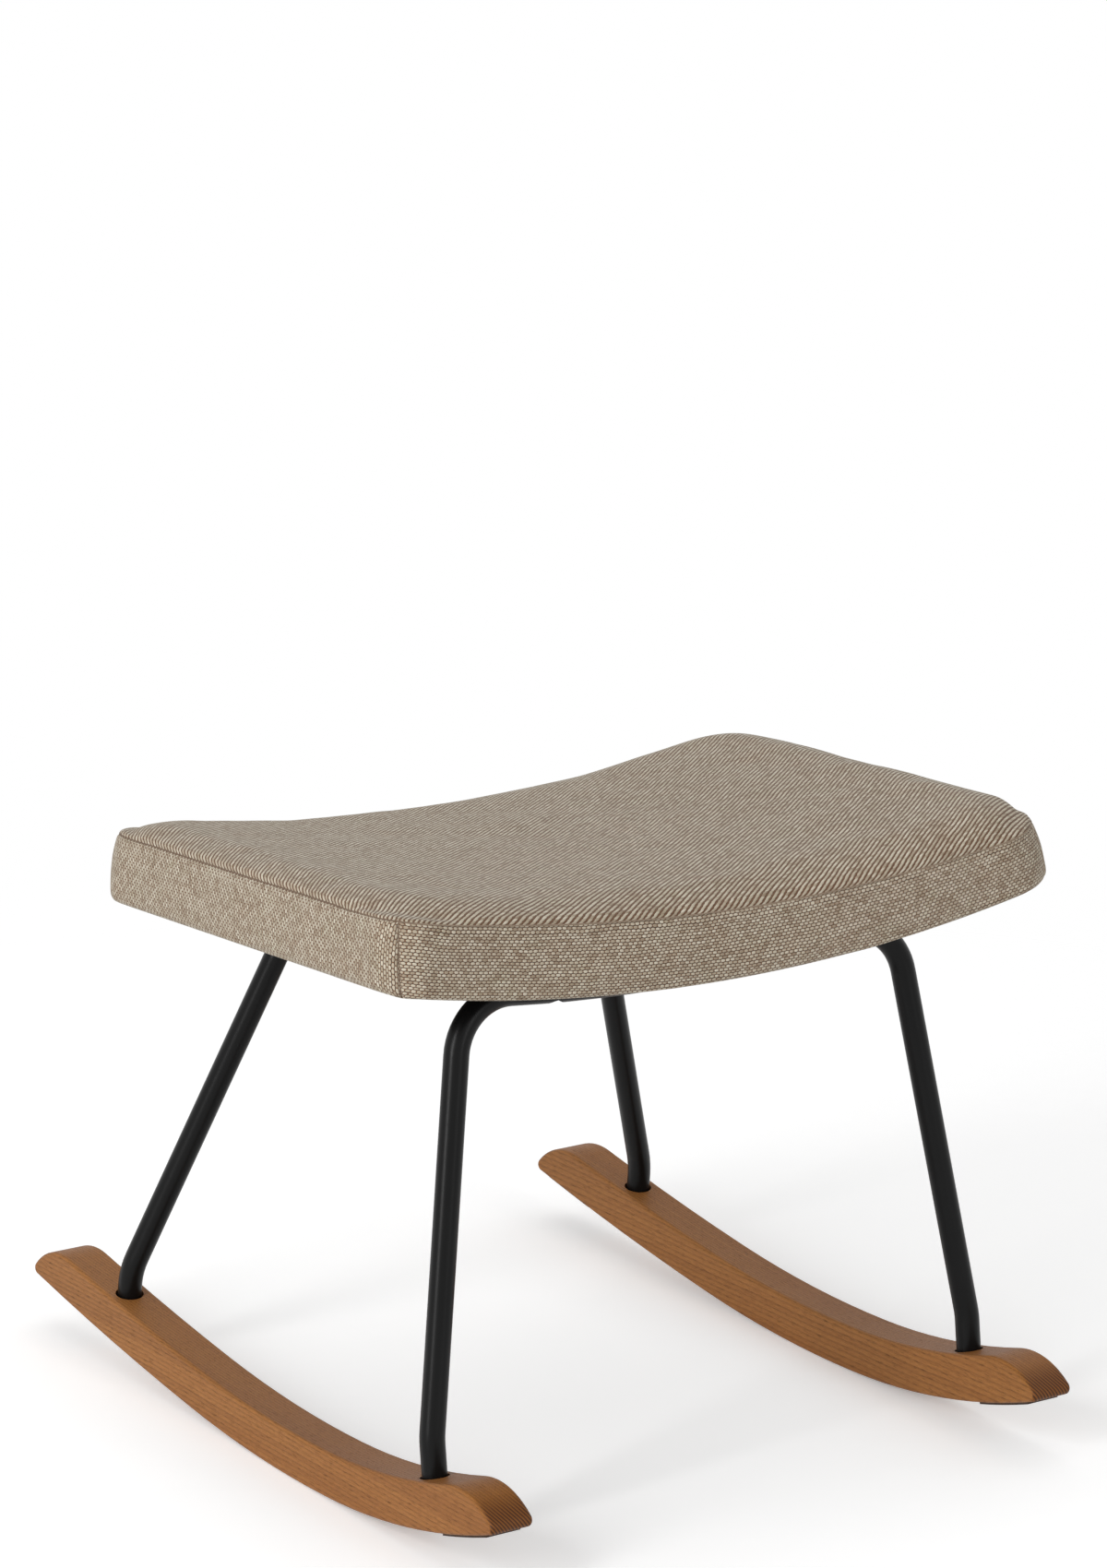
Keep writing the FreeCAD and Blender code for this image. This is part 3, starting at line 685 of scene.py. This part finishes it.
def cushion_shift(grids_coarse, coarse, fine):
    """What the cloth simulation adds, per grid, at the fine grids' places."""
    points, quads, owners, corners, numbers = sew(grids_coarse)
    start, shift = simulate(points, quads, numbers)
    result = {}
    for name, index in numbers.items():
        values = shift[index]
        first, second = coarse["across"], coarse["along"]
        first_new, second_new = fine["across"], fine["along"]
        if name in ("front", "rear"):
            second, second_new = coarse["down"], fine["down"]
        if name in ("left", "right"):
            first, first_new = coarse["along"], fine["along"]
            second, second_new = coarse["down"], fine["down"]
        left_matrix = blend_rows(first, first_new)
        right_matrix = blend_rows(second, second_new)
        result[name] = np.einsum("ai,ijk,bj->abk", left_matrix, values, right_matrix)
    return result


def running_length(points, axis):
    """Length along a grid in one direction, measured from the middle, in metres."""
    steps = np.linalg.norm(np.diff(points, axis=axis), axis=-1)
    start = np.zeros_like(np.take(steps, [0], axis=axis))
    lengths = np.concatenate([start, np.cumsum(steps, axis=axis)], axis=axis)
    middle = np.take(lengths, [lengths.shape[axis] // 2], axis=axis)
    return lengths - middle


def build_cushion():
    plan_length = 2 * SEAM_HALF_WIDTH
    plan_depth = 2 * SEAM_HALF_DEPTH
    coarse = {
        "across": stations(plan_length, CELL), "along": stations(plan_depth, CELL),
        "down": stations(SEAM_HEIGHT, CELL),
    }
    fine = {
        "across": stations(plan_length, CELL, SEAM_STEPS), "along": stations(plan_depth, CELL, SEAM_STEPS),
        "down": stations(SEAM_HEIGHT, CELL, SEAM_STEPS),
    }
    grids = cushion_grids(fine["across"], fine["along"], fine["down"])
    points, quads, owners, corners, numbers = sew(grids)
    world = seat_to_world(points)
    shifts = cushion_shift(cushion_grids(coarse["across"], coarse["along"], coarse["down"]), coarse, fine)
    for name, index in numbers.items():
        world[index] = seat_to_world(grids[name]) + shifts[name]
    normals = point_normals(world, quads)
    flat = points.copy()
    seam_gap = np.full(len(points), 100.0)
    top_distance = edge_distance(flat, SEAM_HALF_WIDTH, SEAM_HALF_DEPTH, CORNERS)
    seam_gap[numbers["top"]] = top_distance[numbers["top"]]
    for name in ("front", "rear", "left", "right"):
        index = numbers[name]
        down = seam_level(flat[index][..., 0]) - flat[index][..., 2]
        reach = running_length(flat[index], 0)
        end = np.minimum(reach - reach[:1], reach[-1:] - reach)
        seam_gap[index] = np.minimum(seam_gap[index], np.minimum(down, end))
    deep = np.where(points[:, 0] < LEFT_SEAM_END, LEFT_GROOVE, GROOVE)
    groove = deep * np.exp(-(seam_gap / GROOVE_WIDTH) ** 2)
    uneven = 0.45 * blobs(points, 70.0, 5) + 0.18 * blobs(points, 22.0, 6)
    pucker = 0.22 * np.exp(-seam_gap / PUCKER_REACH) * blobs(points, 9.0, 7)
    off_board = points[:, 2] > 1.0
    ripple = 0.9 * blobs(points, 60.0, 8) + 0.35 * blobs(points, 18.0, 9)
    hem = np.exp(-points[:, 2] / HEM_REACH) * ripple * off_board
    world += normals * ((uneven * off_board + pucker + hem - groove) * MM)[:, None]
    corner_gap = np.linalg.norm(points - (-FOOT_HALF_WIDTH + 5, -FOOT_HALF_DEPTH + 5, 0.0), axis=1)
    world[:, 2] -= CORNER_HANG * MM * np.exp(-(corner_gap / CORNER_HANG_REACH) ** 2)
    item = new_object("seat_cushion", world, quads, woven)
    item.data.materials.append(woven_band)
    item.data.polygons.foreach_set("material_index", [int(owner not in ("top", "under")) for owner in owners])
    maps = {}
    for name, index in numbers.items():
        place = world[index]
        first = running_length(place, 0)
        second = running_length(place, 1)
        pair = (second, first) if name in ("left", "right") else (first, second)
        if name in ("left", "right"):
            pair = (-second, first)
        if name == "front":
            pair = (first, -second)
        maps[name] = np.stack(pair, -1)
    cloth_place = np.zeros((len(item.data.loops), 3))
    position = 0
    for owner, loop in zip(owners, corners):
        for corner in loop:
            cloth_place[position, :2] = maps[owner][corner]
            position += 1
    layer = item.data.attributes.new(CLOTH_PLACE, "FLOAT_VECTOR", "CORNER")
    layer.data.foreach_set("vector", cloth_place.ravel())
    rounder = item.modifiers.new("subdivision", "SUBSURF")
    rounder.levels = 1
    rounder.render_levels = 1
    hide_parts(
        "cover_top_panel", "cover_front_band", "cover_rear_band", "cover_left_band", "cover_right_band",
        "seat_wadding", "seat_foam",
    )
    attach(item, "root")
    return world, normals, numbers


def point_normals(points, quads):
    quads = np.array(quads)
    a, b, c, d = (points[quads[:, k]] for k in range(4))
    face = np.cross(c - a, d - b)
    normals = np.zeros_like(points)
    for k in range(4):
        np.add.at(normals, quads[:, k], face)
    return normals / np.maximum(np.linalg.norm(normals, axis=1, keepdims=True), 1e-12)


def tube_mesh(path, radius, sides, closed):
    """A thin round thread along a path, as points and quads."""
    path = np.asarray(path)
    count = len(path)
    ahead = np.roll(path, -1, 0) - np.roll(path, 1, 0)
    if not closed:
        ahead[0] = path[1] - path[0]
        ahead[-1] = path[-1] - path[-2]
    ahead /= np.linalg.norm(ahead, axis=1, keepdims=True)
    up = np.tile((0.0, 0.0, 1.0), (count, 1))
    steep = np.abs(ahead[:, 2]) > 0.8
    up[steep] = (0.7, 0.7, 0.0)
    side = np.cross(ahead, up)
    side /= np.linalg.norm(side, axis=1, keepdims=True)
    over = np.cross(side, ahead)
    points = []
    for i in range(count):
        for k in range(sides):
            turn = 2 * math.pi * k / sides
            points.append(path[i] + radius * (math.cos(turn) * side[i] + math.sin(turn) * over[i]))
    faces = []
    for i in range(count if closed else count - 1):
        nxt = (i + 1) % count
        for k in range(sides):
            k2 = (k + 1) % sides
            faces.append((i * sides + k, i * sides + k2, nxt * sides + k2, nxt * sides + k))
    return points, faces


THREAD_RADIUS = 0.0005
THREAD_PROUD = 0.0001
THREAD_SIDES = 6


def build_seams(world, normals, numbers):
    """The sewing thread that shows as a thin line in each seam, darkest at the left seam, where its darker
    tone is painted shade.
    """
    top = numbers["top"]
    ring = [*top[:, 0], *top[-1, 1:], *top[-2::-1, -1], *top[0, -2:0:-1]]
    paths = [(ring, True)]
    for name in ("front", "rear"):
        for end in (0, -1):
            paths.append((list(numbers[name][end]), False))
    points = []
    faces = []
    for path, closed in paths:
        line = world[path] + normals[path] * THREAD_PROUD
        more_points, more_faces = tube_mesh(line, THREAD_RADIUS, THREAD_SIDES, closed)
        faces += [tuple(i + len(points) for i in face) for face in more_faces]
        points += more_points
    item = new_object("seat_seam_thread", points, faces, thread)
    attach(item, "root")


world, normals, numbers = build_cushion()
build_seams(world, normals, numbers)


# Floor, backdrop and light

AMBIENT = 0.6
FLOOR_LIFT = 0.24
FLOOR_HALF_SIZE = 2.0
FADE_START = 0.45
FADE_END = 1.5


def build_stage():
    """A pale floor that keeps the shadow near the object and gives way to the white backdrop around it."""
    n = Nodes("pale_floor")
    place = n.place(1.0)
    shader = n.add("ShaderNodeBsdfDiffuse")
    n.put(n.mix(n.noise(place, 40.0, 2.0), (0.93, 0.93, 0.93), (0.95, 0.95, 0.95)), shader.inputs[0])
    seen = n.add("ShaderNodeLightPath")
    lift = n.add("ShaderNodeEmission")
    shown = n.math("MAXIMUM", seen.outputs["Is Camera Ray"], seen.outputs["Is Glossy Ray"])
    n.put(n.times(shown, FLOOR_LIFT), lift.inputs["Strength"])
    lifted = n.add("ShaderNodeAddShader")
    n.put(shader.outputs[0], lifted.inputs[0])
    n.put(lift.outputs[0], lifted.inputs[1])
    clear = n.add("ShaderNodeBsdfTransparent")
    length = n.add("ShaderNodeVectorMath", operation="LENGTH")
    n.put(place, length.inputs[0])
    fade = n.add("ShaderNodeMixShader")
    n.put(n.mapped(length.outputs["Value"], FADE_START, FADE_END), fade.inputs[0])
    n.put(lifted.outputs[0], fade.inputs[1])
    n.put(clear.outputs[0], fade.inputs[2])
    n.put(fade.outputs[0], n.output.inputs[0])
    corners = [(x * FLOOR_HALF_SIZE, y * FLOOR_HALF_SIZE, 0) for x, y in ((-1, -1), (1, -1), (1, 1), (-1, 1))]
    floor = new_object("floor", corners, [(0, 1, 2, 3)], n.material)
    world_light = bpy.data.worlds.new("studio")
    world_light.use_nodes = True
    tree = world_light.node_tree
    tree.nodes.clear()
    output = tree.nodes.new("ShaderNodeOutputWorld")
    background = tree.nodes.new("ShaderNodeBackground")
    background.inputs[0].default_value = (1.0, 1.0, 1.0, 1.0)
    path = tree.nodes.new("ShaderNodeLightPath")
    strength = tree.nodes.new("ShaderNodeMapRange")
    strength.inputs["To Min"].default_value = AMBIENT
    strength.inputs["To Max"].default_value = 1.0
    seen = path.outputs["Is Camera Ray"]
    for ray in ("Is Glossy Ray", "Is Transmission Ray"):
        either = tree.nodes.new("ShaderNodeMath")
        either.operation = "MAXIMUM"
        tree.links.new(seen, either.inputs[0])
        tree.links.new(path.outputs[ray], either.inputs[1])
        seen = either.outputs[0]
    tree.links.new(seen, strength.inputs["Value"])
    tree.links.new(strength.outputs[0], background.inputs[1])
    tree.links.new(background.outputs[0], output.inputs[0])
    bpy.context.scene.world = world_light


def area_light(name, place, target_height, size, power):
    target = (0.0, 0.0, target_height)
    data = bpy.data.lights.new(name, "AREA")
    data.shape = "RECTANGLE"
    data.size, data.size_y = size
    data.energy = power
    light = bpy.data.objects.new(name, data)
    light.location = place
    light.rotation_mode = "QUATERNION"
    light.rotation_quaternion = (Vector(target) - Vector(place)).to_track_quat("-Z", "Y")
    bpy.context.scene.collection.objects.link(light)


build_stage()
area_light("key", (-3.4, -0.9, 1.6), 0.25, (0.9, 3.0), 86)
area_light("fill", (0.6, -3.8, 1.6), 0.25, (0.9, 3.0), 23)
area_light("top", (0.2, 0.8, 3.2), 0.3, (1.8, 1.8), 8)

scene = bpy.context.scene
scene.view_settings.view_transform = "Standard"
